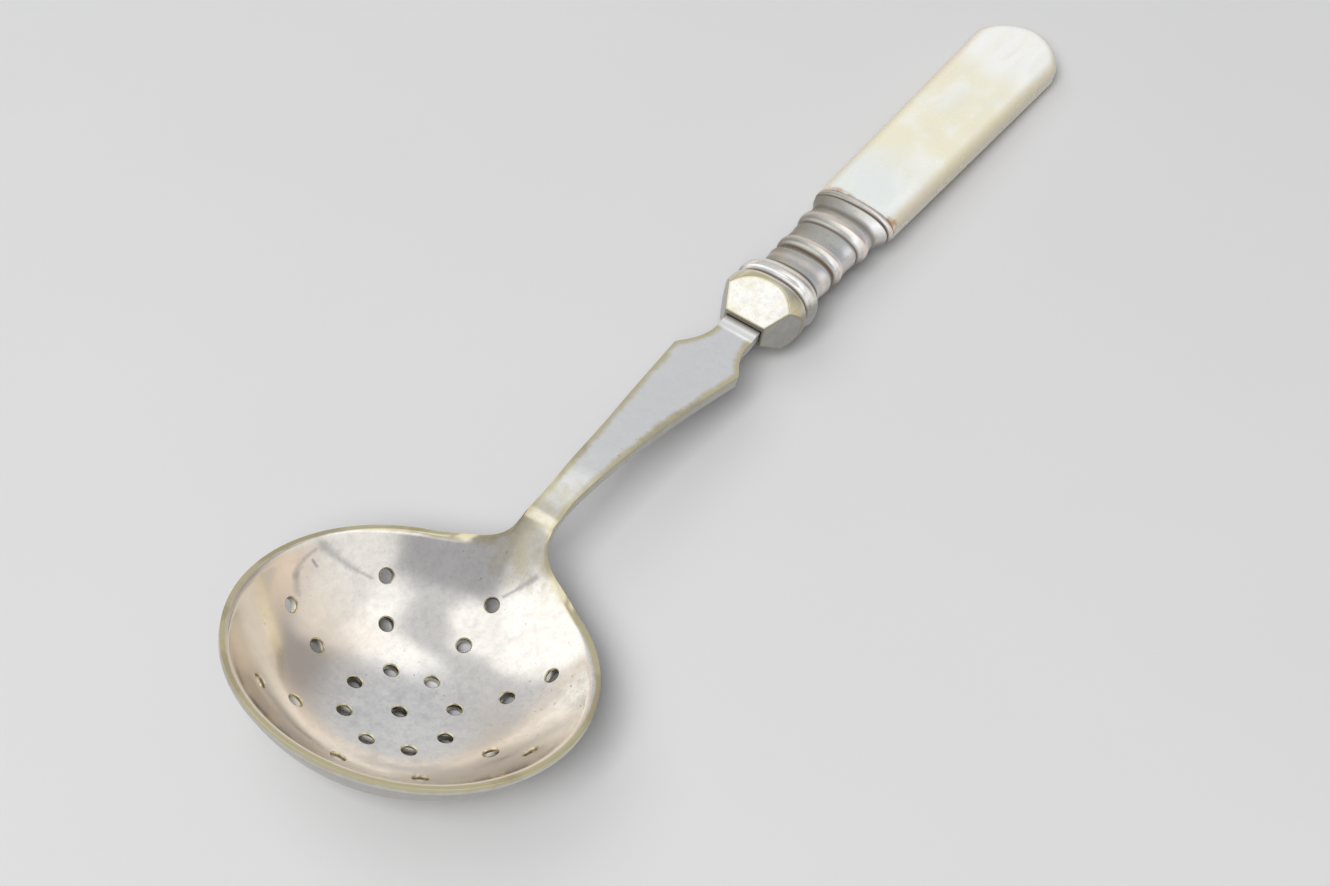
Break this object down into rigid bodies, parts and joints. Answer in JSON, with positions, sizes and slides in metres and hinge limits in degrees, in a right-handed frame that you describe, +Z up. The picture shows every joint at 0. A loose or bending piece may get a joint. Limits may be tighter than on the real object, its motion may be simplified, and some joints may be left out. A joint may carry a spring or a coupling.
{
  "type": "sifter spoon",
  "caption": "Small sifter spoon with a deep round pierced bowl, flat tapered stem, faceted bolster, reeded ferrule and straight mother-of-pearl handle.",
  "frame": {"origin": "bottom centre of the spoon's bounding box, on the surface that it lies on", "axes": "+X along the spoon from the bowl to the handle's end, +Z up, out of the bowl's open mouth, +Y across the spoon"},
  "size_m": [0.1736, 0.04, 0.0161],
  "materials": {
    "silver_plate": "worn silver plate with warm, brassy edges and grey tarnish",
    "ferrule_silver": "dull silver with dark tarnish in the reeding",
    "mother_of_pearl": "polished shell, cream with a pale sheen",
    "cutlers_cement": "matt brown resin cement"
  },
  "bodies": {
    "root": {"bowl_and_stem": "silver_plate", "bolster_and_tang": "silver_plate", "ferrule": "ferrule_silver", "pearl_handle": "mother_of_pearl", "cement_core": "cutlers_cement"}
  },
  "joints": []
}
